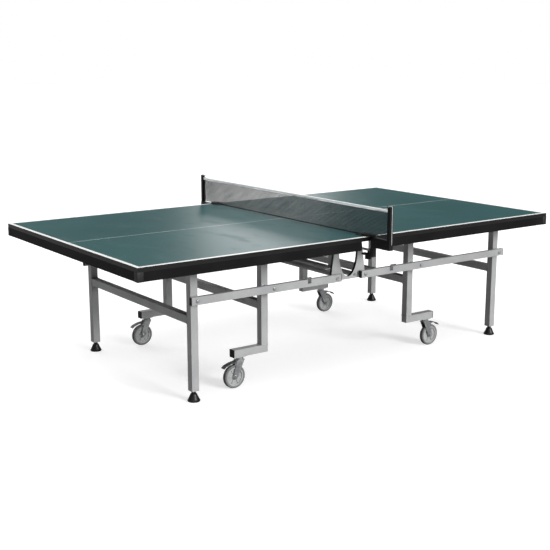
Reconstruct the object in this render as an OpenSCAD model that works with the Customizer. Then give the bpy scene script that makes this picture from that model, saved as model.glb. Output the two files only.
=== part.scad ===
// Indoor ping pong table on a folding rollaway undercarriage, with its net set.
// X runs along the table (left half at -X), Y across it (front at -Y), Z up.
// The origin is on the floor, under the middle of the net. Millimetres.

/* [Table top] */
// Length of the whole playing surface
table_l = 2740; // [2400:10:2800]
// Width of the playing surface
table_w = 1525; // [1300:5:1600]
// Height of the playing surface above the floor
table_h = 760; // [740:5:780]
// Thickness of each board
board_t = 22; // [18:1:25]
// Half of the gap between the two boards
half_gap = 7; // [7:0.5:12]
// Height of the apron below the board
apron_h = 46; // [30:1:60]
// Thickness of the apron
apron_t = 20; // [12:1:25]
// Distance from the middle of the table to the side aprons
apron_start = 70; // [60:1:120]

/* [Folding linkage] */
// Distance of the centre hinge from the middle of the table
hinge_x = 70; // [68:1:90]
// Depth of the upper hinges below the playing surface
hinge_depth = 29; // [29:0.5:32]
// Outward step from an upper hinge to the rail hinge below it
link_step = 28; // [24:1:34]
// Height of the rails' centre line
rail_z = 520; // [480:5:560]
// Radius of the hinge pins
pin_r = 3.5; // [2.5:0.1:4]
// Radial clearance of a pin in the part that turns on it
pin_gap = 0.05; // [0.02:0.01:0.1]
// Side clearance between parts that move past each other
side_gap = 0.4; // [0.3:0.1:1]

/* [Undercarriage] */
// Side of the square tubes
tube = 40; // [36:1:44]
// Wall of the square tubes
wall = 2; // [1.5:0.5:3]
// Distance from the middle to the left pair of legs
left_leg_x = 965; // [930:5:1050]
// Distance from the middle to the right pair of legs
right_leg_x = 1153; // [1080:5:1200]
// Distance from the middle to the caster posts
post_x = 510; // [490:5:600]
// Distance of the caster posts from the long centre line
post_y = 494; // [400:2:510]
// Thickness of the side rails
rail_t = 20; // [16:1:30]
// Height of the crossbars' centre line
crossbar_z = 415; // [380:5:440]
// Height of the bottom of the caster arms
arm_z = 165; // [160:1:180]
// Thickness of the centre side plates
plate_t = 16; // [10:1:20]

/* [Feet and casters] */
// Radius of a levelling foot
foot_r = 32; // [25:1:34]
// Height of a levelling foot, up to the leg
foot_h = 58; // [50:1:70]
// Radius of a wheel
wheel_r = 62.5; // [50:0.5:64]
// Width of a wheel
wheel_w = 26; // [20:1:30]
// Distance of the wheel's axle from the swivel axis
trail = 34; // [25:1:40]
// Distance from a caster post to its swivel axis
caster_reach = 146; // [130:2:170]

/* [Net set] */
// Height of the net above the playing surface
net_h = 152.5; // [140:0.5:160]
// Distance of a net post beyond the side line
post_out = 134; // [120:1:145]
// Side of a square net post
post_w = 20; // [16:1:26]

/* [Hidden] */
$fn = 48;
SIDES = ["left", "right"];
ENDS = ["front", "rear"];
CORNERS = [for (s = SIDES, e = ENDS) str(s, "_", e)];

hinge_z = table_h - hinge_depth;
under_z = table_h - board_t;
head_r = hinge_depth - board_t - 1;
leg_y = post_y + tube / 2 + 2 + foot_r;
rail_y = leg_y + foot_r + 1.5 + rail_t / 2;
plate_y = rail_y - rail_t / 2 - 17.5;
tube_top = hinge_z - 30;
tongue_t = 20;
ear_t = 4;
rail_h = 40;
board_l = table_l / 2 - half_gap;
swivel_x = post_x + caster_reach;
axle_x = swivel_x + trail;
crown_z = arm_z - 18;
fork_t = 3;
post_end_y = table_w / 2 + post_out;
catch_x = 285;
tie_x = 44;
carrier_z = 680;
screw_y = table_w / 2 - 30;

// The legs keep their share of the length when the table is made shorter or longer.
function leg_x(s) = (s == "left" ? left_leg_x : right_leg_x) * table_l / 2740;

// Shapes are drawn for the right half and the rear side, then mirrored to their place.
module half(s) { mirror([s == "left" ? 1 : 0, 0, 0]) children(); }
module side(e) { mirror([0, e == "front" ? 1 : 0, 0]) children(); }
module both_sides() { for (e = ENDS) side(e) children(); }
module corner(s, e) { half(s) side(e) children(); }

// A box given by its middle in x and y, and its lowest z.
module block(x, y, z, size) {
    translate([x - size.x / 2, y - size.y / 2, z]) cube(size);
}
// A cylinder along Y whose middle is at the point p.
module cross_pin(p, r, l) {
    translate(p) rotate([90, 0, 0]) cylinder(r = r, h = l, center = true);
}
// An upright square tube, open at both ends.
module upright_tube(x, y, z0, z1) {
    difference() {
        block(x, y, z0, [tube, tube, z1 - z0]);
        block(x, y, z0 - 1, [tube - 2 * wall, tube - 2 * wall, z1 - z0 + 2]);
    }
}
// A level square tube across the table, between two members at y = -l / 2 and l / 2.
module across_tube(x, z, w, h, l) {
    difference() {
        block(x, 0, z - h / 2, [w, l, h]);
        block(x, 0, z - h / 2 + wall, [w - 2 * wall, l + 2, h - 2 * wall]);
    }
}

// ---- the two halves of the top ----

module board() {
    color("darkslategray") translate([half_gap, -table_w / 2, under_z])
        cube([board_l, table_w, board_t]);
}

// One end apron and two side aprons, screwed under the board's edge.
module aprons() {
    end_x = table_l / 2;
    side_l = end_x - apron_t - apron_start;
    color("#1f1b1d") {
        translate([end_x - apron_t, -table_w / 2, under_z - apron_h]) cube([apron_t, table_w, apron_h]);
        both_sides() translate([apron_start, table_w / 2 - apron_t, under_z - apron_h])
            cube([side_l - 0.2, apron_t, apron_h]);
    }
}

// Flat battens screwed across the board's underside.
module braces() {
    color("#2b2b2d") for (x = [340, 720, 1250])
        block(x * table_l / 2740, 0, under_z - 25, [25, 2 * (post_y - tube / 2 - 12), 25]);
}

// Two angles with an ear each, either side of the member that turns at (x, y).
module hinge_bracket(x, y, member_t) {
    in = member_t / 2 + side_gap;
    for (m = [0, 1]) translate([x, y, 0]) mirror([0, m, 0]) difference() {
        union() {
            translate([-14, in, hinge_z]) cube([28, ear_t, hinge_depth - board_t]);
            translate([-14, in, under_z - 3]) cube([28, ear_t + 12, 3]);
            cross_pin([0, in + ear_t / 2, hinge_z], head_r + 0.5, ear_t);
        }
        cross_pin([0, in, hinge_z], pin_r, 4 * ear_t);
    }
}
module hinge_pin(x, y, member_t) {
    cross_pin([x, y, hinge_z], pin_r, member_t + 2 * (side_gap + ear_t));
}

// Where each half's hinges are: x, y and the thickness of the member between the ears.
function hinge_places(s) = [
    [hinge_x, plate_y, plate_t],
    [post_x - link_step, post_y, tongue_t],
    [leg_x(s) - link_step, leg_y, tongue_t]];

module hinge_brackets(s) {
    color("silver") both_sides() for (p = hinge_places(s)) hinge_bracket(p[0], p[1], p[2]);
}
module hinge_pins(s) {
    color("gray") both_sides() for (p = hinge_places(s)) hinge_pin(p[0], p[1], p[2]);
}

// ---- rails ----

module rails(s) {
    x0 = hinge_x + link_step - 26;
    x1 = leg_x(s) + 32;
    color("silver") both_sides() difference() {
        translate([x0, rail_y - rail_t / 2, rail_z - rail_h / 2]) cube([x1 - x0, rail_t, rail_h]);
        translate([x0 - 1, rail_y - rail_t / 2 + wall, rail_z - rail_h / 2 + wall])
            cube([x1 - x0 + 2, rail_t - 2 * wall, rail_h - 2 * wall]);
        for (x = [hinge_x + link_step, post_x, leg_x(s)])
            cross_pin([x, rail_y, rail_z], pin_r + pin_gap, rail_t + 2);
        cross_pin([catch_x, rail_y + rail_t / 2, rail_z + 6], pin_r + pin_gap, 2 * wall + 2);
    }
}
// Black plugs in the open ends of the rails.
module rail_caps(s) {
    x0 = hinge_x + link_step - 26;
    x1 = leg_x(s) + 32;
    color("#222222") both_sides() for (e = [[x0, -1], [x1, 1]]) {
        block(e[0] + e[1] * 1.5, rail_y, rail_z - rail_h / 2, [3, rail_t, rail_h]);
        block(e[0] - e[1] * 5, rail_y, rail_z - rail_h / 2 + wall,
            [10, rail_t - 2 * wall, rail_h - 2 * wall]);
    }
}
// The catch that drops beside the rail and holds the folded table; it turns on a stud.
module rail_catches() {
    y0 = rail_y + rail_t / 2 + side_gap;
    color("#8a8d90") both_sides() {
        translate([catch_x, y0, rail_z + 6]) rotate([-90, 0, 0]) linear_extrude(4)
            polygon([[-9, 8], [9, 8], [9, -16], [30, -20], [30, -26], [-9, -26]]);
        translate([catch_x, y0 - rail_t / 2, rail_z + 6]) rotate([-90, 0, 0])
            cylinder(r = pin_r, h = rail_t / 2 + 8);
    }
}

// ---- legs and caster frames ----

// The steel tongue that carries a square tube on its upper hinge.
module tongue(x, y) {
    hx = x - link_step;
    translate([0, y + tongue_t / 2, 0]) rotate([90, 0, 0]) linear_extrude(tongue_t)
        difference() {
            union() {
                polygon([[hx, hinge_z + head_r], [hx + 14, hinge_z + head_r - 2],
                    [x + tube / 2 - wall, tube_top], [x + tube / 2 - wall, tube_top - 40],
                    [x - tube / 2 + wall, tube_top - 40], [x - tube / 2 + wall, tube_top],
                    [hx, hinge_z - head_r]]);
                translate([hx, hinge_z]) circle(r = head_r);
            }
            translate([hx, hinge_z]) circle(r = pin_r + pin_gap);
        }
}
// A bolt through the rail into the member at (x, y), with its spacer and head.
module rail_bolt(x, y, member_t) {
    y0 = y + member_t / 2;
    rail_in = rail_y - rail_t / 2;
    rail_out = rail_y + rail_t / 2;
    cross_pin([x, (y0 + rail_out + 1) / 2, rail_z], pin_r, rail_out + 1 - y0);
    cross_pin([x, (y0 + rail_in - side_gap) / 2, rail_z], 7, rail_in - side_gap - y0);
    translate([x, rail_out + side_gap + 2.5, rail_z]) rotate([90, 0, 0])
        cylinder(r = 7, h = 5, center = true);
}

module legs(s) {
    x = leg_x(s);
    color("silver") both_sides() {
        upright_tube(x, leg_y, foot_h, tube_top);
        tongue(x, leg_y);
        rail_bolt(x, leg_y, tube);
        difference() {
            block(x, leg_y, foot_h - 4, [tube, tube, 4]);
            translate([x, leg_y, 0]) cylinder(r = 6.05, h = foot_h + 1);
        }
    }
}
module leg_crossbar(s) {
    color("silver") across_tube(leg_x(s), crossbar_z, tube, tube, 2 * leg_y - tube);
}
module caster_posts() {
    color("silver") both_sides() {
        upright_tube(post_x, post_y, arm_z + tube, tube_top);
        tongue(post_x, post_y);
        rail_bolt(post_x, post_y, tube);
    }
}
// The arm under each post carries the caster at its outer end.
module caster_arms() {
    x0 = post_x - tube / 2;
    x1 = swivel_x + 40;
    color("silver") both_sides() {
        difference() {
            translate([x0, post_y - tube / 2, arm_z]) cube([x1 - x0, tube, tube]);
            translate([x0 + wall, post_y - tube / 2 + wall, arm_z + wall])
                cube([x1 - x0, tube - 2 * wall, tube - 2 * wall]);
            translate([swivel_x, post_y, arm_z - 1]) cylinder(r = 6.05, h = wall + 2);
        }
        difference() {
            block(swivel_x, post_y, arm_z - 3, [62, tube, 3]);
            translate([swivel_x, post_y, arm_z - 4]) cylinder(r = 6.05, h = 5);
        }
        translate([x1, post_y - tube / 2, arm_z]) cube([4, tube, tube]);
    }
}
module caster_crossbar() {
    color("silver") across_tube(post_x, crossbar_z, tube, tube, 2 * post_y - tube);
}

// ---- casters ----

// The fork turns on its stem under the arm; the wheel sits outboard of the stem.
module caster_fork(s, e) {
    cheek_in = wheel_w / 2 + 1.5;
    color("#9aa0a4") corner(s, e) translate([swivel_x, post_y, 0]) {
        translate([0, 0, crown_z + 3]) cylinder(r = 21, h = arm_z - 3.5 - crown_z - 3);
        translate([0, 0, crown_z]) cylinder(r = 6, h = arm_z + wall + 8 - crown_z);
        translate([-22, -cheek_in - fork_t, crown_z]) cube([44, 2 * (cheek_in + fork_t), 3]);
        for (m = [0, 1]) mirror([0, m, 0]) translate([0, cheek_in + fork_t, 0]) rotate([90, 0, 0])
            linear_extrude(fork_t) difference() {
                union() {
                    polygon([[-22, crown_z + 3], [22, crown_z + 3], [trail + 13, wheel_r + 2],
                        [trail - 12, wheel_r - 5]]);
                    translate([trail, wheel_r]) circle(r = 13);
                    polygon([[10, crown_z + 3], [34, crown_z - 8], [40, crown_z - 22], [10, crown_z - 24]]);
                }
                translate([30, crown_z - 12]) circle(r = 3);
            }
        cross_pin([trail, 0, wheel_r], 5, 2 * (cheek_in + fork_t) + 6);
        for (m = [-1, 1]) translate([trail, m * (cheek_in + fork_t + 2.5), wheel_r])
            rotate([90, 0, 0]) cylinder(r = 8, h = 5, center = true, $fn = 6);
    }
}
module wheel_hub(s, e) {
    color("#c9cccd") corner(s, e) translate([axle_x, post_y, wheel_r]) rotate([90, 0, 0])
        rotate_extrude() polygon([[5.05, -wheel_w / 2 - 1], [12, -wheel_w / 2 - 1], [14, -5], [40, -5],
            [43, -wheel_w / 2 + 2], [wheel_r - 13, -wheel_w / 2 + 2], [wheel_r - 13, wheel_w / 2 - 2],
            [43, wheel_w / 2 - 2], [40, 5], [14, 5], [12, wheel_w / 2 + 1], [5.05, wheel_w / 2 + 1]]);
}
module tyre(s, e) {
    r = wheel_r - 13;
    color("#7d8082") corner(s, e) translate([axle_x, post_y, wheel_r]) rotate([90, 0, 0])
        rotate_extrude($fn = 72) polygon([[r, -wheel_w / 2 + 2], [wheel_r - 5, -wheel_w / 2],
            [wheel_r - 1, -wheel_w / 2 + 4], [wheel_r, -6], [wheel_r, 6],
            [wheel_r - 1, wheel_w / 2 - 4], [wheel_r - 5, wheel_w / 2], [r, wheel_w / 2 - 2]]);
}
// A pedal that turns between the cheeks and presses on the tyre.
module brake_pedal(s, e) {
    w = wheel_w + 2;
    color("#3a3c3e") corner(s, e) translate([swivel_x, post_y, 0]) {
        translate([0, w / 2, 0]) rotate([90, 0, 0]) linear_extrude(w)
            polygon([[22, crown_z - 9], [30, crown_z - 5], [60, crown_z - 9], [92, crown_z - 20],
                [104, crown_z - 32], [101, crown_z - 34], [88, crown_z - 24],
                [58, crown_z - 13], [24, crown_z - 14]]);
        cross_pin([30, 0, crown_z - 12], 2.95, w + 2 * fork_t + 2);
    }
}

// ---- levelling feet ----

module foot(s, e) {
    color("#1b1b1c") corner(s, e) translate([leg_x(s), leg_y, 0]) rotate_extrude()
        polygon([[0, 0], [foot_r - 2, 0], [foot_r, 3], [foot_r, 7], [foot_r - 4, 12], [20, 30],
            [17, 38], [11, 43], [11, foot_h - 9], [14, foot_h - 5], [6, foot_h - 4.5],
            [6, foot_h + 34], [0, foot_h + 34]]);
}

// ---- centre bracket ----

// A cast plate each side of the table: two arms that meet at the bottom.
module side_plates() {
    arm_in = hinge_x - head_r;
    foot_x = hinge_x + link_step + 18;
    top_z = under_z - 8;
    color("silver") both_sides() for (s = SIDES) half(s)
        translate([0, plate_y + plate_t / 2, 0]) rotate([90, 0, 0]) linear_extrude(plate_t)
            difference() {
                union() {
                    polygon(concat([[0.2, rail_z - 20], [foot_x, rail_z - 20], [foot_x, rail_z + 12],
                        [hinge_x + 22, top_z - 26], [hinge_x + 10, top_z], [hinge_x, hinge_z - head_r],
                        [arm_in, hinge_z]],
                        [for (a = [0:15:75]) [0.2 + (arm_in - 0.2) * cos(a),
                            rail_z + 128 - 134 * sin(a)]],
                        [[0.2, rail_z - 6]]));
                    translate([hinge_x, hinge_z]) circle(r = head_r);
                }
                translate([hinge_x, hinge_z]) circle(r = pin_r + pin_gap);
                translate([tie_x, rail_z]) circle(r = 5);
            }
}
// Two tubes tie the front plates to the rear ones, and link plates join left to right.
module plate_ties() {
    l = 2 * plate_y - plate_t;
    color("silver") {
        for (x = [-tie_x, tie_x]) {
            difference() {
                cross_pin([x, 0, rail_z], 14, l);
                cross_pin([x, 0, rail_z], 12, l + 2);
            }
        }
        both_sides() translate([15 - tie_x, plate_y - plate_t / 2 - 5, rail_z - 20])
            cube([2 * (tie_x - 15), 5, 14]);
    }
}
// The shoulder bolts that carry the rails, and the bolts of the ties.
module rail_bolts() {
    color("gray") both_sides() for (s = SIDES) half(s) {
        rail_bolt(hinge_x + link_step, plate_y, plate_t);
        translate([tie_x, plate_y + plate_t / 2 + 1.5, rail_z]) rotate([90, 0, 0])
            cylinder(r = 8, h = 3, center = true);
    }
}

// ---- net set ----

// A flat bar under the gap between the boards, on posts that stand on the ties.
module net_carrier() {
    l = table_w + 26;
    color("#4a4c4e") {
        translate([-6, -l / 2, carrier_z]) cube([12, l, 10]);
        for (y = [-420, 0, 420]) {
            block(0, y, rail_z + 14, [10, 30, carrier_z - rail_z - 14]);
            block(0, y, rail_z + 14, [2 * tie_x + 16, 30, 3]);
        }
    }
}
// Each clamp plugs onto the carrier, passes the board's edge and reaches out to its post.
module net_clamps() {
    edge = table_w / 2 + side_gap;
    top = table_h + 0.4;
    color("#18181a") both_sides() difference() {
        union() {
            translate([-36, edge - 96, top]) cube([72, 96, 3]);
            translate([-24, edge - 60, top + 3]) cube([48, 60, 4]);
            translate([-12, edge, 652]) cube([24, 16, top + 7 - 652]);
            translate([-12, edge + 16, 704]) cube([24, post_out - 16 + post_w / 2, 52]);
            translate([-12, edge - 70, 655]) cube([24, 70, 10]);
            translate([-9, edge - 12, 665]) cube([18, 12, carrier_z + 14 - 665]);
        }
        translate([-6, 0, carrier_z]) cube([12, table_w / 2 + 13, 10]);
        translate([-2.5, 0, top + 3]) cube([5, post_end_y, 10]);
        translate([0, screw_y, 650]) cylinder(r = 5.05, h = 20);
        translate([-post_w / 2, post_end_y - post_w / 2, 700]) cube([post_w, post_w, 70]);
    }
}
// The thumbscrew that locks the clamp to the carrier.
module clamp_screw(e) {
    color("#1d1d1f") side(e) translate([0, screw_y, 0]) {
        translate([0, 0, 640]) cylinder(r = 5, h = carrier_z - 0.4 - 640);
        difference() {
            translate([0, 0, 636]) cylinder(r = 17, h = 18);
            for (a = [0:60:300]) rotate([0, 0, a]) translate([20, 0, 635]) cylinder(r = 6, h = 20);
        }
    }
}
module net_posts() {
    top = table_h + net_h + 10;
    color("#161617") both_sides() {
        block(0, post_end_y, 704, [post_w, post_w, top - 704]);
        block(0, post_end_y, top, [post_w + 3, post_w + 3, 4]);
    }
}
module net() {
    l = 2 * (post_end_y - post_w / 2 - 3);
    color("#2b3a40") block(0, 0, table_h + 4, [3, l, net_h - 19]);
}
module net_tape() {
    l = 2 * (post_end_y - post_w / 2);
    color("white") block(0, 0, table_h + net_h - 15, [5, l, 15]);
}

// The tension cord leaves the tape, passes over the post and runs down to its cleat.
cord_r = 1.5;
cord_points = [[0, -44, 2], [0, -28, 2], [0, -20, 5], [0, -16, 11], [0, -13.5, 16], [0, -10, 18],
    [0, 0, 18.6], [0, 10, 18], [0, 13.5, 16], [0, 14.5, 11], [0, 14.5, 0], [0, 14.5, -60],
    [0, 14.5, -120], [0, 14.5, -178]];
function cord_way(i) = let (
    a = cord_points[max(i - 1, 0)],
    b = cord_points[min(i + 1, len(cord_points) - 1)]) (b - a) / norm(b - a);
module cord_tube() {
    n = 8;
    last = len(cord_points) - 1;
    rings = [for (i = [0:last]) let (w = cord_way(i)) for (k = [0:n - 1])
        cord_points[i] + cord_r * (cos(k * 360 / n) * [1, 0, 0]
            + sin(k * 360 / n) * [0, -w.z, w.y])];
    faces = [for (i = [0:last - 1], k = [0:n - 1]) let (j = (k + 1) % n)
        [i * n + k, i * n + j, (i + 1) * n + j, (i + 1) * n + k]];
    ends = [[for (k = [n - 1:-1:0]) k], [for (k = [0:n - 1]) last * n + k]];
    polyhedron(points = rings, faces = concat(faces, ends));
}
module net_cords() {
    color("white") both_sides() translate([0, post_end_y, table_h + net_h]) cord_tube();
}

for (s = SIDES) {
    half(s) board();
    half(s) aprons();
    half(s) braces();
    half(s) hinge_brackets(s);
    half(s) hinge_pins(s);
    half(s) rails(s);
    half(s) rail_caps(s);
    half(s) rail_catches();
    half(s) legs(s);
    half(s) leg_crossbar(s);
    half(s) caster_posts();
    half(s) caster_arms();
    half(s) caster_crossbar();
}
for (s = SIDES, e = ENDS) {
    foot(s, e);
    caster_fork(s, e);
    wheel_hub(s, e);
    tyre(s, e);
    brake_pedal(s, e);
}
for (e = ENDS) {
    clamp_screw(e);
}
side_plates();
plate_ties();
rail_bolts();
net_carrier();
net_clamps();
net_posts();
net();
net_tape();
net_cords();
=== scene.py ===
# %% [markdown]
# # A folding ping pong table
#
# The table has two painted boards, black aprons, a silver undercarriage that folds, four
# levelling feet, four braked casters and a net set. The engineering model gives every solid
# its place and its joint. Here each surface gets its finish, and the cloth, the cords and
# the small fittings get their true shape.

import math

import bpy
from mathutils import Matrix, Vector


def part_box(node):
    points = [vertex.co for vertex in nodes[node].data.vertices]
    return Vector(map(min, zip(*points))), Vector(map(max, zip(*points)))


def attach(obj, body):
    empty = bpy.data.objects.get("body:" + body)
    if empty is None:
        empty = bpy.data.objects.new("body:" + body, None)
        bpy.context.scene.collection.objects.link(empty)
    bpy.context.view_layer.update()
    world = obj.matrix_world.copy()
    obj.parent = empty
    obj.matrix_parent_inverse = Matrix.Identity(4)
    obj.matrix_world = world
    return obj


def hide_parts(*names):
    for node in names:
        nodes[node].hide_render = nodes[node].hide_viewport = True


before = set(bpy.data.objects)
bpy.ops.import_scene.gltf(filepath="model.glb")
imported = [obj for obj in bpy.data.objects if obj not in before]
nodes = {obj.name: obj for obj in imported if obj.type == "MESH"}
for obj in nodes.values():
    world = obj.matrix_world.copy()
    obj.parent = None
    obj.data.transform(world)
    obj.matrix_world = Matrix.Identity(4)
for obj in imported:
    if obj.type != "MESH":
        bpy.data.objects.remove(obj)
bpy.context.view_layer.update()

# %% [markdown]
# The camera stands in front of the near long side, left of the net, a little above the net's
# top. A long lens far away keeps the long edges almost parallel.
# The settings are plain numbers, because a camera that is aimed by a constraint moves again
# when another view is asked for.

# %% Camera
camera = bpy.data.objects.new("camera", bpy.data.cameras.new("camera"))
bpy.context.scene.collection.objects.link(camera)
camera.location = (-3.4238, -4.6609, 1.6652)
camera.rotation_euler = (math.pi / 2 - 0.2117, 0.0015, -0.6235)
camera.data.lens = 66.15
camera.data.sensor_width = 36.0
camera.data.clip_start, camera.data.clip_end = 0.1, 200
bpy.context.scene.camera = camera
print("camera", [round(value, 3) for value in camera.location])

# %% [markdown]
# ## One small language for finishes
#
# A procedural finish is a graph of nodes. Written node by node it hides its own idea, so a
# small class wraps a socket and lets Python's operators add the Math nodes. `1 - mask` then
# reads as it is meant. Colours never pass through a Math node, which would turn them grey:
# they are mixed with a Mix node.

# %% Shader values and finishes
class Value:
    """One number of a finish that may change over the surface."""

    def __init__(self, finish, socket):
        self.finish, self.socket = finish, socket

    def math(self, operation, *others):
        return self.finish.node("Math", {"operation": operation}, [self, *others])

    def __add__(self, other):
        return self.math("ADD", other)

    def __mul__(self, other):
        return self.math("MULTIPLY", other)

    def __sub__(self, other):
        return self.math("SUBTRACT", other)

    def __rsub__(self, other):
        return self.finish.node("Math", {"operation": "SUBTRACT"}, [other, self])

    __radd__, __rmul__ = __add__, __mul__

    def over(self, limit):
        return self.math("GREATER_THAN", limit)

    def under(self, limit):
        return self.math("LESS_THAN", limit)

    def size(self):
        return self.math("ABSOLUTE")

    def spread(self, low, high, to_low=0.0, to_high=1.0):
        """This value between low and high, stretched to a new range and held there."""
        return self.finish.node(
            "MapRange", {"interpolation_type": "SMOOTHSTEP"}, [self, low, high, to_low, to_high]
        )


class Finish:
    """A material built on one Principled shader."""

    def __init__(self, name, roughness=0.5, metallic=0.0):
        self.material = bpy.data.materials.new(name)
        self.material.use_nodes = True
        self.tree = self.material.node_tree
        self.shader = self.tree.nodes["Principled BSDF"]
        self.shader.inputs["Roughness"].default_value = roughness
        self.shader.inputs["Metallic"].default_value = metallic
        place = self.tree.nodes.new("ShaderNodeTexCoord")
        self.place = place.outputs["Object"]
        self.facing = place.outputs["Normal"]
        self.x, self.y, self.z = self.split(self.place)

    def link(self, value, socket):
        if isinstance(value, Value):
            value = value.socket
        if isinstance(value, bpy.types.NodeSocket):
            self.tree.links.new(value, socket)
        else:
            socket.default_value = value

    def raw(self, kind, settings, values):
        made = self.tree.nodes.new("ShaderNode" + kind)
        for key, setting in settings.items():
            setattr(made, key, setting)
        pairs = values.items() if isinstance(values, dict) else enumerate(values)
        for key, value in pairs:
            self.link(value, made.inputs[key])
        return made

    def node(self, kind, settings, values, output=0):
        return Value(self, self.raw(kind, settings, values).outputs[output])

    def split(self, vector):
        made = self.raw("SeparateXYZ", {}, [vector])
        return [Value(self, made.outputs[i]) for i in range(3)]

    def stretched(self, x, y, z):
        """The place, scaled along each axis, so that a pattern becomes streaks or threads."""
        made = self.raw("VectorMath", {"operation": "MULTIPLY"}, [self.place, (x, y, z)])
        return made.outputs[0]

    def noise(self, scale, detail=3.0, where=None, roughness=0.55):
        values = {"Vector": where or self.place, "Scale": scale, "Detail": detail,
                  "Roughness": roughness}
        return self.node("TexNoise", {}, values)

    def cells(self, scale, where=None):
        return self.node("TexVoronoi", {}, {"Vector": where or self.place, "Scale": scale})

    def mix(self, share, first, second):
        """Colour first where share is 0, and second where it is 1."""
        made = self.tree.nodes.new("ShaderNodeMix")
        made.data_type = "RGBA"
        for key, value in ((0, share), (6, first), (7, second)):
            colour = isinstance(value, tuple) and len(value) == 3
            self.link((*value, 1.0) if colour else value, made.inputs[key])
        return made.outputs[2]

    def paint(self, colour):
        self.link(colour if not isinstance(colour, tuple) else (*colour, 1.0),
                  self.shader.inputs["Base Color"])

    def gloss(self, value):
        self.link(value, self.shader.inputs["Roughness"])

    def relief(self, height, depth, strength=1.0):
        """Raises the surface by height times depth, in metres, for the light only."""
        values = {"Strength": strength, "Distance": depth, "Height": height}
        made = self.raw("Bump", {}, values)
        self.link(made.outputs[0], self.shader.inputs["Normal"])

    def fixed(self, **sockets):
        for key, value in sockets.items():
            self.shader.inputs[key.replace("_", " ")].default_value = value


def coat(node_names, finish):
    """Gives CAD nodes their finish."""
    for name in node_names:
        mesh = nodes[name].data
        mesh.materials.clear()
        mesh.materials.append(finish.material)


SIDES, ENDS = ("left", "right"), ("front", "rear")
CORNERS = [(side, end) for side in SIDES for end in ENDS]
SIGN = {"left": -1, "right": 1, "front": -1, "rear": 1}


def each_side(*names):
    return [f"{side}_{name}" for side in SIDES for name in names]


def each_corner(*names):
    return [f"{side}_{end}_{name}" for side, end in CORNERS for name in names]


# %% [markdown]
# ## Playing boards
#
# A board is a sheet of dense wood fibre with a green top coat, which is matt enough that a
# lamp doesn't dazzle the players. It is rolled on, so it has a very fine grain, and balls and
# bats leave faint rubbed patches. The white side and end lines are 20 mm wide and the centre
# line 3 mm. They could be thin strips, but real ones are paint, so they are a mask by place.

# %% Board finish
long_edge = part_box("right_board")[1]
edge_line, centre_stripe = 0.020, 0.003
line_y, line_x = long_edge.y - edge_line, long_edge.x - edge_line
board = Finish("green_top_coat")
across, along = board.y.size(), board.x.size()
side_line = across.over(line_y)
end_line = along.over(line_x)
centre_line = across.under(centre_stripe / 2)
lines = side_line.math("MAXIMUM", end_line).math("MAXIMUM", centre_line)
cloud = board.noise(1.3, 2.0)
rubbed = board.noise(9.0, 5.0, board.stretched(1.0, 0.5, 1.0)).spread(0.52, 0.74)
grain = board.noise(900.0, 2.0)
green = board.mix(cloud.spread(0.3, 0.7), (0.005, 0.052, 0.055), (0.010, 0.067, 0.070))
green = board.mix(grain.spread(0.35, 0.75) * 0.35, green, (0.030, 0.112, 0.115))
green = board.mix(rubbed * 0.10, green, (0.080, 0.140, 0.140))
white = board.mix(grain.spread(0.4, 0.8) * 0.3, (0.78, 0.79, 0.77), (0.60, 0.62, 0.60))
top_colour = board.mix(lines, green, white)
chips = board.noise(160.0, 3.0).spread(0.66, 0.72)
edging = board.mix(chips, (0.006, 0.0055, 0.006), (0.030, 0.028, 0.027))
backing = board.mix(board.noise(70.0, 5.0), (0.016, 0.018, 0.018), (0.040, 0.042, 0.041))
on_top = board.z.over(long_edge.z - 0.0006)
on_back = board.z.under(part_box("right_board")[0].z + 0.0002)
board.paint(board.mix(on_top, board.mix(on_back, edging, backing), top_colour))
board.gloss(on_top.spread(0, 1, 0.34, 0.38) + rubbed * on_top * 0.08 + grain * 0.06)
board.relief(grain + lines * 2.0, 0.00006)
board.fixed(Specular_IOR_Level=0.34)
coat(each_side("board"), board)
print("edge lines start at", round(line_x, 3), round(line_y, 3))

# %% [markdown]
# ## Aprons and battens
#
# The aprons are square strips sprayed satin black. Spray leaves a soft orange-peel skin, and
# the corners rub through to grey where hands and the floor touch them. The battens are plain
# wood strips with a thin black wash, so their grain still shows.

# %% Apron and batten finishes
apron = Finish("satin_black_strip")
skin = apron.noise(420.0, 2.0)
wear = apron.noise(55.0, 6.0).spread(0.60, 0.78)
dust = apron.noise(4.0, 3.0)
black = apron.mix(dust.spread(0.35, 0.7), (0.0065, 0.0060, 0.0065), (0.0105, 0.0098, 0.0105))
apron.paint(apron.mix(wear * 0.25, black, (0.040, 0.038, 0.039)))
apron.gloss(skin * 0.10 + wear * 0.12 + 0.46)
apron.relief(skin, 0.00012)
apron.fixed(Specular_IOR_Level=0.08)
coat(each_side("aprons"), apron)

batten = Finish("black_washed_batten")
veins = batten.noise(60.0, 6.0, batten.stretched(1.0, 0.06, 1.0), 0.65)
batten.paint(batten.mix(veins.spread(0.3, 0.75), (0.014, 0.013, 0.012), (0.060, 0.052, 0.044)))
batten.gloss(veins.spread(0.3, 0.7, 0.72, 0.55))
batten.relief(veins, 0.0003)
coat(each_side("braces"), batten)

# %% [markdown]
# ## Silver undercarriage
#
# The tubes are steel with a silver-grey powder coat. Baked powder is a little bumpy, like
# fine orange peel, with tiny bright flakes in it. Sliding and packing leave short scuffs along
# a tube, so the scuff pattern is stretched along the upright axis for legs and posts, and
# along the table for rails and arms.

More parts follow.
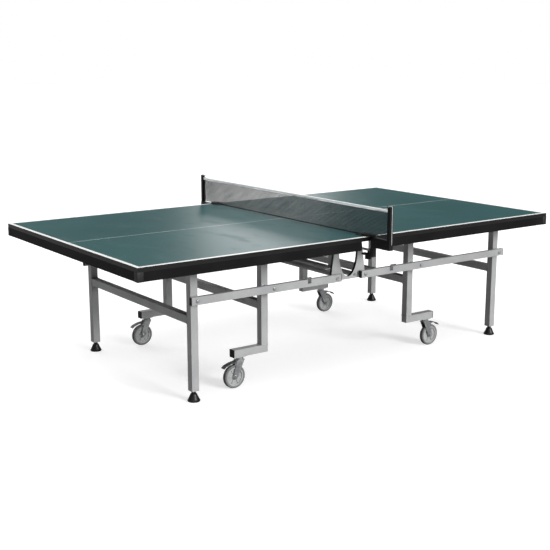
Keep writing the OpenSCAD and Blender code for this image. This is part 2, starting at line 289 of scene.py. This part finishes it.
# %% Powder coat
def powder_coat(name, streak, tone=1.0):
    finish = Finish(name, metallic=0.25)
    peel = finish.noise(520.0, 2.0)
    flakes = finish.cells(1900.0).under(0.20)
    shade = finish.noise(6.0, 3.0)
    scuffs = finish.noise(38.0, 6.0, finish.stretched(*streak), 0.7).spread(0.66, 0.74)
    light = tuple(tone * value for value in (0.475, 0.478, 0.480))
    darker = tuple(tone * value for value in (0.405, 0.408, 0.412))
    bright = tuple(tone * value for value in (0.640, 0.645, 0.650))
    colour = finish.mix(shade.spread(0.35, 0.68), darker, light)
    colour = finish.mix(flakes * 0.5, colour, bright)
    colour = finish.mix(scuffs * 0.45, colour, (0.24, 0.24, 0.24))
    finish.paint(colour)
    finish.gloss(peel * 0.14 + scuffs * 0.15 + 0.34)
    finish.relief(peel - scuffs * 0.6, 0.00015)
    return finish


upright_coat = powder_coat("silver_powder_uprights", (1.0, 1.0, 0.10))
level_coat = powder_coat("silver_powder_rails", (0.10, 1.0, 1.0))
crossing_coat = powder_coat("silver_powder_crossbars", (1.0, 0.10, 1.0), 0.96)
coat(each_side("legs", "caster_posts"), upright_coat)
coat(each_side("rails", "caster_arms"), level_coat)
coat(each_side("leg_crossbar", "caster_crossbar"), crossing_coat)
coat(["plate_ties", "net_carrier"], crossing_coat)

# %% [markdown]
# The four centre plates are castings with the same coat on their broad faces; their edge
# faces are painted near-black. The direction that a face looks tells the two apart, and it is
# the piece's own direction, so it folds with the table.

# %% Centre plates
plate = powder_coat("silver_powder_castings", (1.0, 1.0, 0.3))
pebble = plate.noise(240.0, 4.0)
edge_on = plate.split(plate.facing)[1].size().under(0.5)
# The edge faces of the plates are painted near-black.
dark_edge_colour = plate.mix(pebble, (0.010, 0.010, 0.011), (0.026, 0.026, 0.028))
silver = plate.shader.inputs["Base Color"].links[0].from_socket
plate.paint(plate.mix(edge_on, silver, dark_edge_colour))
plate.link((1 - edge_on) * 0.25, plate.shader.inputs["Metallic"])
coat(["side_plates"], plate)
print("powder coat on", len(each_side("legs", "rails", "caster_arms", "caster_posts")), "nodes")

# %% [markdown]
# ## Fittings in plated steel, black steel and plastic
#
# Brackets, pins, bolts, forks and catches are pressed steel with bright zinc. Zinc shows a
# faint crystal cloud and dulls unevenly. The net set is steel with black powder. Plugs and
# feet are moulded plastic, which copies the sparked, leathery skin of its mould.

# %% Zinc
def zinc_plate(name, tone=1.0):
    finish = Finish(name, metallic=1.0)
    crystals = finish.noise(130.0, 2.0, None, 0.4)
    drawn = finish.noise(300.0, 3.0, finish.stretched(1.0, 1.0, 0.08))
    dull = finish.noise(22.0, 4.0).spread(0.50, 0.68)
    colour = finish.mix(crystals.spread(0.3, 0.7), tuple(tone * v for v in (0.42, 0.43, 0.44)),
                        tuple(tone * v for v in (0.62, 0.63, 0.64)))
    finish.paint(finish.mix(dull * 0.5, colour, tuple(tone * v for v in (0.30, 0.30, 0.29))))
    finish.gloss(dull * 0.22 + drawn * 0.12 + 0.28)
    finish.relief(drawn + crystals * 0.5, 0.00008)
    return finish


zinc = zinc_plate("bright_zinc")
dark_zinc = zinc_plate("dull_zinc", 0.55)
coat(each_side("hinge_brackets", "hinge_pins") + ["rail_bolts"], zinc)
coat(each_side("rail_catches"), dark_zinc)
coat(each_corner("caster_fork"), zinc)


# %% Black powder, plastic and rubber
def black_powder(name, low, high, gloss):
    finish = Finish(name, metallic=0.1)
    peel = finish.noise(640.0, 3.0)
    rub = finish.noise(60.0, 6.0).spread(0.62, 0.76)
    finish.paint(finish.mix(rub * 0.4, finish.mix(peel.spread(0.3, 0.7), low, high),
                            (0.07, 0.07, 0.072)))
    finish.gloss(peel * 0.15 + rub * 0.15 + gloss)
    finish.relief(peel, 0.00018)
    finish.fixed(Specular_IOR_Level=0.25)
    return finish


def moulded(name, low, high, gloss, scale=900.0):
    finish = Finish(name)
    spark = finish.cells(scale)
    bloom = finish.noise(14.0, 4.0).spread(0.35, 0.7)
    finish.paint(finish.mix(bloom, low, high))
    finish.gloss(spark * 0.16 + bloom * 0.08 + gloss)
    finish.relief(spark, 0.00012)
    finish.fixed(Specular_IOR_Level=0.35)
    return finish


net_steel = black_powder("black_powder_net_set", (0.0075, 0.0072, 0.008),
                         (0.014, 0.0135, 0.0145), 0.34)
pedal_steel = black_powder("dark_grey_powder", (0.050, 0.052, 0.055), (0.085, 0.087, 0.090), 0.36)
plug = moulded("black_plug_plastic", (0.008, 0.008, 0.009), (0.016, 0.016, 0.017), 0.42)
foot_plastic = moulded("black_foot_plastic", (0.006, 0.006, 0.0065), (0.013, 0.013, 0.014), 0.30)
hub_plastic = moulded("light_grey_hub_plastic", (0.34, 0.345, 0.345),
                      (0.46, 0.465, 0.465), 0.36, 700.0)
coat(["net_clamps", "net_posts"], net_steel)
coat(each_corner("brake_pedal"), pedal_steel)
coat(each_side("rail_caps"), plug)
coat(each_corner("foot"), foot_plastic)
coat(["front_clamp_screw", "rear_clamp_screw"], plug)
coat(each_corner("wheel_hub"), hub_plastic)

# %% [markdown]
# The tyres are grey, non-marking rubber. Rolling polishes the tread and leaves it a little
# darker with dust, while the side walls keep fine rings from the mould. The rings run round
# the axle, so each wheel's finish is centred on its own axle.

# %% Tyres
def tyre_rubber(name, centre):
    finish = Finish(name)
    offset = finish.raw("VectorMath", {"operation": "SUBTRACT"}, [finish.place, tuple(centre)])
    dx, _, dz = finish.split(offset.outputs[0])
    radius = (dx * dx + dz * dz).math("SQRT")
    rings = (radius * 2600.0).math("SINE")
    tread = radius.spread(0.0585, 0.0615)
    dusty = finish.noise(45.0, 5.0).spread(0.4, 0.72)
    grit = finish.noise(600.0, 2.0)
    side_wall = finish.mix(grit, (0.150, 0.152, 0.153), (0.200, 0.203, 0.204))
    rolled = finish.mix(dusty, (0.095, 0.095, 0.094), (0.155, 0.152, 0.147))
    finish.paint(finish.mix(tread, side_wall, rolled))
    finish.gloss(dusty * 0.15 + grit * 0.1 + 0.58)
    finish.relief(rings * (1 - tread) * 0.5 + grit * 0.4, 0.00025)
    return finish


for name in each_corner("tyre"):
    low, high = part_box(name)
    coat([name], tyre_rubber("grey_rubber_" + name, (low + high) / 2))

# %% [markdown]
# ## Making new pieces
#
# A new piece starts as a primitive at its real size, is shaped in edit mode and finished with
# modifiers that are applied. Its place then goes into its mesh, so that every piece sits at
# the origin like the engineering model's own. A piece that repeats is made once at the
# origin and copied, and a mirrored copy has its faces turned the right way again.

# %% Helpers for pieces
def clear():
    if bpy.context.object and bpy.context.object.mode != "OBJECT":
        bpy.ops.object.mode_set(mode="OBJECT")
    bpy.ops.object.select_all(action="DESELECT")


def start(add, name, **settings):
    """Adds a primitive with nothing else selected, and names it."""
    clear()
    add(**settings)
    piece = bpy.context.object
    piece.name = piece.data.name = name
    return piece


def only(piece):
    clear()
    piece.select_set(True)
    bpy.context.view_layer.objects.active = piece


def settle(piece):
    """Puts the piece's place, turn and size into its mesh."""
    only(piece)
    bpy.ops.object.transform_apply(location=True, rotation=True, scale=True)


def apply(piece, kind, **settings):
    only(piece)
    modifier = piece.modifiers.new(kind.lower(), kind)
    for key, value in settings.items():
        setattr(modifier, key, value)
    bpy.ops.object.modifier_apply(modifier=modifier.name)


def round_edges(piece, width, segments=2, angle=35):
    apply(piece, "BEVEL", width=width, segments=segments, limit_method="ANGLE",
          angle_limit=math.radians(angle))


def smooth(piece, angle=40):
    only(piece)
    bpy.ops.object.shade_smooth_by_angle(angle=math.radians(angle))


def pick_faces(piece, wanted):
    """Opens the piece for editing with just the wanted faces selected."""
    only(piece)
    bpy.ops.object.mode_set(mode="EDIT")
    bpy.ops.mesh.select_mode(type="FACE")
    bpy.ops.mesh.select_all(action="DESELECT")
    bpy.ops.object.mode_set(mode="OBJECT")
    for face in piece.data.polygons:
        face.select = wanted(face)
    bpy.ops.object.mode_set(mode="EDIT")


def pick_edges(piece, wanted):
    """Opens the piece for editing with just the wanted edges selected."""
    only(piece)
    bpy.ops.object.mode_set(mode="EDIT")
    bpy.ops.mesh.select_mode(type="EDGE")
    bpy.ops.mesh.select_all(action="DESELECT")
    bpy.ops.object.mode_set(mode="OBJECT")
    points = piece.data.vertices
    for edge in piece.data.edges:
        edge.select = wanted(*(points[i].co for i in edge.vertices))
    bpy.ops.object.mode_set(mode="EDIT")


def dress(piece, body, finish):
    """Gives a piece its finish, and makes it ride on its body."""
    clear()
    piece.data.materials.clear()
    piece.data.materials.append(finish.material)
    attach(piece, body)
    return piece


def place_copy(pattern, name, place, body, finish):
    twin = bpy.data.objects.new(name, pattern.data.copy())
    bpy.context.scene.collection.objects.link(twin)
    twin.data.transform(place)
    if place.determinant() < 0:
        twin.data.flip_normals()
    return dress(twin, body, finish)


def mirrored(side, end):
    """Turns a piece made for the right half's rear into that corner's."""
    return Matrix.Diagonal((SIGN[side], SIGN[end], 1, 1))


def middle(node):
    low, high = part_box(node)
    return (low + high) / 2


# %% [markdown]
# ## Bolt heads
#
# The rails turn on shoulder bolts. Each has a low round head with a six-sided socket. A
# plain cylinder would read as a dot, so the rim is rounded and the socket is cut with a
# six-sided cutter. The twelve heads are copies, on the member that each bolt is fixed in.

# %% Bolt heads on the rails
rail_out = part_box("right_rails")[1].y
rail_z = middle("right_rails").z
tube_x = {side: abs(middle(f"{side}_leg_crossbar").x) for side in SIDES}
post_x = middle("right_caster_crossbar").x
bracket_bolt_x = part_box("side_plates")[1].x - 0.018

head = start(bpy.ops.mesh.primitive_cylinder_add, "bolt_head", vertices=48, radius=0.0085,
             depth=0.0064, rotation=(math.pi / 2, 0, 0))
settle(head)
round_edges(head, 0.0014, 3, 60)
cutter = start(bpy.ops.mesh.primitive_cylinder_add, "socket_cutter", vertices=6, radius=0.0042,
               depth=0.006, location=(0, 0.0032, 0), rotation=(math.pi / 2, 0, 0))
settle(cutter)
apply(head, "BOOLEAN", operation="DIFFERENCE", object=cutter, solver="EXACT")
smooth(head, 35)
for side, end in CORNERS:
    places = {"bracket": (bracket_bolt_x, "centre_bracket"),
              "post": (post_x, f"caster_frame_{side}"),
              "leg": (tube_x[side], f"leg_frame_{side}")}
    for place, (x, body) in places.items():
        where = mirrored(side, end) @ Matrix.Translation((x, rail_out + 0.0034, rail_z))
        place_copy(head, f"{side}_{end}_{place}_bolt_head", where, body, zinc)
for spare in (head, cutter):
    bpy.data.objects.remove(spare)
print("bolt heads at x", round(bracket_bolt_x, 3), round(post_x, 3), tube_x)

# %% [markdown]
# ## Weld beads
#
# The crossbars and the caster arms are welded to the square tubes. A weld shows as a soft
# rippled bead round the joint, under the paint. A square ring is drawn round the tube,
# divided, and given a round section; small waves along it are the ripples of the torch.

# %% Weld beads at the crossbars and arms
def weld_bead(name, side, radius=0.0026):
    """A bead round a square tube of that side. It lies across Z."""
    ring = start(bpy.ops.mesh.primitive_circle_add, name, vertices=4, radius=side / math.sqrt(2),
                 rotation=(0, 0, math.pi / 4))
    settle(ring)
    pick_edges(ring, lambda a, b: True)
    bpy.ops.mesh.subdivide(number_cuts=23)
    clear()
    only(ring)
    bpy.ops.object.convert(target="CURVE")
    curve = bpy.context.object
    curve.data.bevel_depth, curve.data.bevel_resolution = radius, 2
    bpy.ops.object.convert(target="MESH")
    bead = bpy.context.object
    for point in bead.data.vertices:
        turn = math.atan2(point.co.y, point.co.x)
        point.co *= 1 + 0.010 * math.sin(turn * 64) + 0.006 * math.sin(turn * 11 + 1)
        point.co.z *= 1 + 0.16 * math.sin(turn * 64 + 0.7)
    smooth(bead, 80)
    return bead


bead = weld_bead("bead", 0.0405)
half_tube = 0.020
crossings = {"leg": ("leg_crossbar", "leg_frame"), "post": ("caster_crossbar", "caster_frame")}
for side, end in CORNERS:
    for place, (bar, body) in crossings.items():
        low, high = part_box(f"{side}_{bar}")
        bar_x, bar_z = (low.x + high.x) / 2, (low.z + high.z) / 2
        centre = Matrix.Translation((bar_x, SIGN[end] * high.y, bar_z))
        stand = centre @ Matrix.Rotation(math.pi / 2, 4, "X")
        place_copy(bead, f"{side}_{end}_{place}_weld", stand, f"{body}_{side}", crossing_coat)
    low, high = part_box(f"{side}_caster_arms")
    top = Matrix.Translation((SIGN[side] * post_x, SIGN[end] * (high.y - half_tube), high.z))
    place_copy(bead, f"{side}_{end}_arm_weld", top, f"caster_frame_{side}", upright_coat)
bpy.data.objects.remove(bead)

# %% [markdown]
# ## Plugs in the caster arms
#
# Each arm ends in a black moulded plug with a rounded rim and a shallow dished face. The rim
# is a bevel, and the dish is an inset face pushed in.

# %% Arm plugs
arm_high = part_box("right_caster_arms")[1]
cap = start(bpy.ops.mesh.primitive_cube_add, "cap", size=1, location=(0.0006, 0, 0),
            scale=(0.0052, 0.0408, 0.0408))
settle(cap)
pick_faces(cap, lambda face: face.normal.x > 0.9)
bpy.ops.mesh.inset(thickness=0.006)
bpy.ops.transform.translate(value=(-0.0012, 0, 0))
clear()
round_edges(cap, 0.0012, 3)
smooth(cap)
for side, end in CORNERS:
    centre = Matrix.Translation((arm_high.x, arm_high.y - half_tube, arm_high.z - half_tube))
    place_copy(cap, f"{side}_{end}_arm_plug", mirrored(side, end) @ centre,
               f"caster_frame_{side}", plug)
bpy.data.objects.remove(cap)

# %% [markdown]
# ## Wheel webs and axle caps
#
# A moulded wheel is a boss and a rim joined by a thin web, with short ribs to stiffen it. The
# web is in the engineering model; the ribs are added here, because they catch the light
# as the wheel turns. One rib is a rounded bar, and six of them are turned round the axle.

# %% Ribs on both faces of each wheel
def rib_star():
    ribs = []
    for step in range(6):
        turn = step * math.pi / 3
        rib = start(bpy.ops.mesh.primitive_cube_add, f"rib_{step}", size=1,
                    location=(0.0265 * math.cos(turn), 0.0066, 0.0265 * math.sin(turn)),
                    rotation=(0, -turn, 0), scale=(0.029, 0.0048, 0.0040))
        settle(rib)
        round_edges(rib, 0.0010, 2)
        ribs.append(rib)
    clear()
    for rib in ribs:
        rib.select_set(True)
    bpy.context.view_layer.objects.active = ribs[0]
    bpy.ops.object.join()
    smooth(ribs[0])
    return ribs[0]


star = rib_star()
for side, end in CORNERS:
    centre = Matrix.Translation(middle(f"{side}_{end}_tyre"))
    for face, flip in (("outer", 1), ("inner", -1)):
        where = centre @ Matrix.Diagonal((1, flip, 1, 1))
        place_copy(star, f"{side}_{end}_{face}_wheel_ribs", where, f"wheel_{side}_{end}",
                   hub_plastic)
bpy.data.objects.remove(star)

# %% [markdown]
# ## Locknuts over the feet
#
# A hexagonal nut under each leg locks the levelling foot's stem. A six-sided prism with a
# bevel on its corners is enough, and it turns with its foot.

# %% Locknuts
nut = start(bpy.ops.mesh.primitive_cylinder_add, "nut", vertices=6, radius=0.0155, depth=0.0040)
settle(nut)
round_edges(nut, 0.0009, 3, 20)
smooth(nut, 30)
for side, end in CORNERS:
    spot = middle(f"{side}_{end}_foot")
    under_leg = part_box(f"{side}_legs")[0].z - 0.0021
    place_copy(nut, f"{side}_{end}_locknut", Matrix.Translation((spot.x, spot.y, under_leg)),
               f"foot_{side}_{end}", foot_plastic)
bpy.data.objects.remove(nut)

# %% [markdown]
# ## Corner guards
#
# A thin moulded guard covers the seam where two aprons meet at each outer corner. It is a
# flat strip folded round the corner: an L with a rounded fold, a millimetre proud of the
# wood. The L is a box with its inner quarter left out, so it starts as one leg and the end
# face is extruded along the other side.

# %% Corner guards
low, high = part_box("right_aprons")
reach, skin_t = 0.030, 0.0010
guard = start(bpy.ops.mesh.primitive_cube_add, "guard", size=1,
              location=(skin_t / 2, -reach / 2, (low.z + high.z) / 2),
              scale=(skin_t, reach, high.z - low.z + 0.0010))
settle(guard)
pick_faces(guard, lambda face: face.normal.y > 0.9)
bpy.ops.mesh.extrude_region_move(TRANSFORM_OT_translate={"value": (0, skin_t, 0)})
clear()
pick_faces(guard, lambda face: face.normal.x < -0.9 and face.center.y > 0)
bpy.ops.mesh.extrude_region_move(TRANSFORM_OT_translate={"value": (-reach, 0, 0)})
clear()
round_edges(guard, 0.00045, 2)
smooth(guard)
for side, end in CORNERS:
    centre = Matrix.Translation((high.x, high.y, 0))
    place_copy(guard, f"{side}_{end}_corner_guard", mirrored(side, end) @ centre,
               f"half_{side}", plug)
bpy.data.objects.remove(guard)

# %% [markdown]
# ## The net
#
# The net is knotted cord in small squares, hung from a white tape and held tight between the
# posts. A pattern painted on a flat sheet would look flat from the side, so the cords are
# real: a grid is turned into a lattice of square threads by the Wireframe modifier. Before
# that its points are moved a little, because a stretched net still waves between its ties.

# %% Netting
net_low, net_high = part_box("net")
net_l, net_h = net_high.y - net_low.y, net_high.z - net_low.z + 0.002
pitch = 0.0072
netting = start(bpy.ops.mesh.primitive_grid_add, "netting",
                x_subdivisions=round(net_l / pitch), y_subdivisions=round(net_h / pitch), size=1,
                location=(0, 0, net_low.z + net_h / 2), rotation=(math.pi / 2, 0, math.pi / 2))
netting.scale = (net_l, net_h, 1)
settle(netting)
for point in netting.data.vertices:
    height = (point.co.z - net_low.z) / net_h
    free = math.sin(math.pi * min(1, 0.15 + 0.85 * (1 - height)))
    along_net = point.co.y
    point.co.x += free * (0.0010 * math.sin(along_net * 9.0) + 0.0006 * math.sin(along_net * 31.0))
    if 0.02 < height < 0.98 and abs(along_net) < net_l / 2 - 0.01:
        point.co.z += 0.0008 * math.sin(along_net * 23.0 + height * 5.0)
        point.co.y += 0.0006 * math.sin(along_net * 57.0 + height * 17.0)
apply(netting, "WIREFRAME", thickness=0.0034, use_replace=True, use_boundary=True,
      use_even_offset=False)

net_cord = Finish("dark_net_cord")
twist = net_cord.noise(2200.0, 2.0)
knots = net_cord.noise(240.0, 3.0).spread(0.35, 0.7)
net_cord.paint(net_cord.mix(twist, (0.010, 0.014, 0.017), (0.040, 0.050, 0.056)))
net_cord.gloss(knots * 0.12 + 0.72)
net_cord.relief(twist, 0.00020)
dress(netting, "centre_bracket", net_cord)
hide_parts("net")
print("net threads", len(netting.data.polygons), "faces")

# %% [markdown]
# ## White tape and side cords
#
# The tape is a woven band folded over the net's top cord and sewn below it, so its section is
# a drop: full at the top, pinched at the seam, and a little open at the hem. A long prism of
# twenty sides is divided along its length and its points are moved to that section. The
# weave and the stitches are in the finish. The tape also gives off a faint glow of its own:
# painted light that keeps it bright white on its shaded side.

# %% Tape over the net
tape_low, tape_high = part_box("net_tape")
tape_l, tape_h = tape_high.y - tape_low.y, tape_high.z - tape_low.z
tape = start(bpy.ops.mesh.primitive_cylinder_add, "top_tape", vertices=20, radius=1,
             depth=tape_l, rotation=(math.pi / 2, 0, 0), end_fill_type="NGON")
settle(tape)
pick_edges(tape, lambda a, b: abs(a.y - b.y) > tape_l / 2)
bpy.ops.mesh.subdivide(number_cuts=140)
clear()
for point in tape.data.vertices:
    turn = math.atan2(point.co.z, point.co.x)
    height = (math.sin(turn) + 1) / 2
    full = math.sqrt(max(0.0, 1 - max(0.0, (height - 0.80) / 0.20) ** 2))
    pinch = 1 - 0.48 * math.exp(-(((height - 0.24) / 0.10) ** 2)) - 0.22 * (height < 0.6)
    ripple = 0.00022 * math.sin(point.co.y * 61.0 + height * 3.0)
    side_of = 0 if abs(math.cos(turn)) < 1e-6 else math.copysign(1, math.cos(turn))
    point.co.x = side_of * 0.0025 * full * pinch + ripple
    point.co.z = tape_low.z + tape_h * height + 0.0004 * math.sin(point.co.y * 7.0) * (1 - height)
smooth(tape, 60)

woven = Finish("white_woven_tape")
warp = (woven.z * 5200.0).math("SINE")
weft = (woven.y * 5200.0).math("SINE")
weave = warp * weft * 0.5 + 0.5
seam = (woven.z - (tape_low.z + 0.24 * tape_h)).size().under(0.0006)
stitch = seam * (woven.y * (math.tau / 0.005)).math("SINE").over(-0.2)
grey = woven.noise(7.0, 4.0).spread(0.45, 0.75)
cloth = woven.mix(weave, (0.80, 0.80, 0.79), (0.94, 0.94, 0.93))
cloth = woven.mix(grey * 0.25, cloth, (0.60, 0.60, 0.58))
woven.paint(woven.mix(stitch * 0.6, cloth, (0.50, 0.50, 0.50)))
woven.gloss(weave * 0.08 + 0.78)
woven.relief(weave - stitch * 2.0, 0.00018)
# The faint emission is painted light that brightens the tape's shaded side.
woven.fixed(Emission_Color=(0.93, 0.97, 1.0, 1), Emission_Strength=0.24)
dress(tape, "centre_bracket", woven)
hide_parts("net_tape")

# %% [markdown]
# A white cord runs out of each end of the tape, over the post and down to the clamp. It keeps
# the net tight, so it is held along its whole way and has no loose end. A curve through the
# cord's points, given a round section, makes the whole cord in one piece. Its handles are
# straight, because the points already lie close together where the cord bends.

# %% Tension cords
post_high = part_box("net_posts")[1]
post_y = post_high.y - 0.0115
cord_way = [(-0.044, 0.002), (-0.028, 0.002), (-0.020, 0.005), (-0.016, 0.011), (-0.0135, 0.016),
            (-0.010, 0.018), (0, 0.0186), (0.010, 0.018), (0.0135, 0.016), (0.0145, 0.011),
            (0.0145, 0), (0.0145, -0.060), (0.0145, -0.120), (0.0145, -0.178)]
braid = Finish("white_braided_cord")
strands = ((braid.z + braid.y) * 3600.0).math("SINE") * 0.5 + 0.5
fuzz = braid.noise(1500.0, 3.0)
braid.paint(braid.mix(strands * 0.6 + fuzz * 0.3, (0.52, 0.52, 0.50), (0.86, 0.86, 0.84)))
braid.gloss(strands * 0.1 + 0.7)
braid.relief(strands, 0.00030)
for end in ENDS:
    cord = start(bpy.ops.curve.primitive_bezier_curve_add, f"{end}_tension_cord")
    spline = cord.data.splines[0]
    spline.bezier_points.add(len(cord_way) - 2)
    for point, (y, z) in zip(spline.bezier_points, cord_way):
        point.co = (0, SIGN[end] * (post_y + y), tape_high.z + z)
        point.handle_left_type = point.handle_right_type = "VECTOR"
    cord.data.bevel_depth, cord.data.bevel_resolution = 0.0015, 3
    cord.data.resolution_u, cord.data.use_fill_caps = 3, True
    only(cord)
    bpy.ops.object.convert(target="MESH")
    cord = bpy.context.object
    settle(cord)
    smooth(cord, 60)
    dress(cord, "centre_bracket", braid)
    if end == "front":
        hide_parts("net_cords")

# %% [markdown]
# ## Floor and light
#
# The floor is pale, and is shown a little brighter than it lights the table, so that the
# shadow stays soft and the undersides stay dark. The sky is white to the eye, but lights the
# table mostly from overhead. A broad lamp in front on the right shades the tubes' left faces,
# and a weaker one behind keeps the far side from going dark. A soft box far behind the table
# lays a band of gloss over the left board.

# %% Floor
floor = start(bpy.ops.mesh.primitive_circle_add, "studio_floor", vertices=96, radius=60,
              fill_type="NGON")
settle(floor)
paper = Finish("pale_floor", roughness=0.9)
fibre = paper.noise(30.0, 4.0)
paper.paint(paper.mix(fibre, (0.52, 0.52, 0.52), (0.56, 0.56, 0.56)))
paper.relief(fibre, 0.0002)
paper.fixed(Emission_Color=(1, 1, 1, 1), Emission_Strength=0.62)
dim = paper.raw("BsdfDiffuse", {}, {"Color": (0.30, 0.30, 0.30, 1)})
eye_ray = paper.raw("LightPath", {}, {}).outputs["Is Camera Ray"]
shown = paper.raw("MixShader", {}, [eye_ray, dim.outputs[0], paper.shader.outputs[0]])
paper.link(shown.outputs[0], paper.tree.nodes["Material Output"].inputs["Surface"])
floor.data.materials.append(paper.material)


# %% Lamps and sky
def lamp(name, kind, direction, power, **settings):
    light = bpy.data.objects.new(name, bpy.data.lights.new(name, kind))
    bpy.context.scene.collection.objects.link(light)
    light.data.energy = power
    for key, value in settings.items():
        setattr(light.data, key, value)
    light.rotation_euler = Vector(direction).to_track_quat("-Z", "Y").to_euler()
    return light


lamp("front_right_lamp", "SUN", (-0.20, 0.90, -0.36), 3.1, angle=math.radians(22))
lamp("back_lamp", "SUN", (0.10, -0.85, -0.52), 0.9, angle=math.radians(40))
lamp("overhead_lamp", "SUN", (0.10, 0.15, -1.0), 1.5, angle=math.radians(60))
azimuth, elevation = 0.93, 0.225
toward = Vector((
    math.cos(azimuth) * math.cos(elevation),
    math.sin(azimuth) * math.cos(elevation),
    math.sin(elevation),
))
box_lamp = lamp("soft_box", "AREA", -toward, 30, shape="RECTANGLE", size=1.5, size_y=0.9)
box_lamp.location = Vector((-0.5, -0.15, 0.76)) + toward * 7
box_lamp.visible_camera = False

sky = bpy.data.worlds.new("studio_sky")
bpy.context.scene.world = sky
sky.use_nodes = True
tree = sky.node_tree
seen, back = tree.nodes["Background"], tree.nodes.new("ShaderNodeBackground")
back.inputs["Color"].default_value, back.inputs["Strength"].default_value = (1, 1, 1, 1), 1.0
way = tree.nodes.new("ShaderNodeTexCoord")
parts = tree.nodes.new("ShaderNodeSeparateXYZ")
rise = tree.nodes.new("ShaderNodeMapRange")
for index, value in enumerate((0.05, 0.85, 0.03, 0.50)):
    rise.inputs[index + 1].default_value = value
tree.links.new(way.outputs["Generated"], parts.inputs[0])
tree.links.new(parts.outputs["Z"], rise.inputs[0])
tree.links.new(rise.outputs[0], seen.inputs["Strength"])
seen.inputs["Color"].default_value = (1, 1, 1, 1)
path, choice = tree.nodes.new("ShaderNodeLightPath"), tree.nodes.new("ShaderNodeMixShader")
tree.links.new(path.outputs["Is Camera Ray"], choice.inputs[0])
tree.links.new(seen.outputs[0], choice.inputs[1])
tree.links.new(back.outputs[0], choice.inputs[2])
tree.links.new(choice.outputs[0], tree.nodes["World Output"].inputs["Surface"])
bpy.context.scene.view_settings.view_transform = "Standard"

# %% Leave nothing selected
clear()
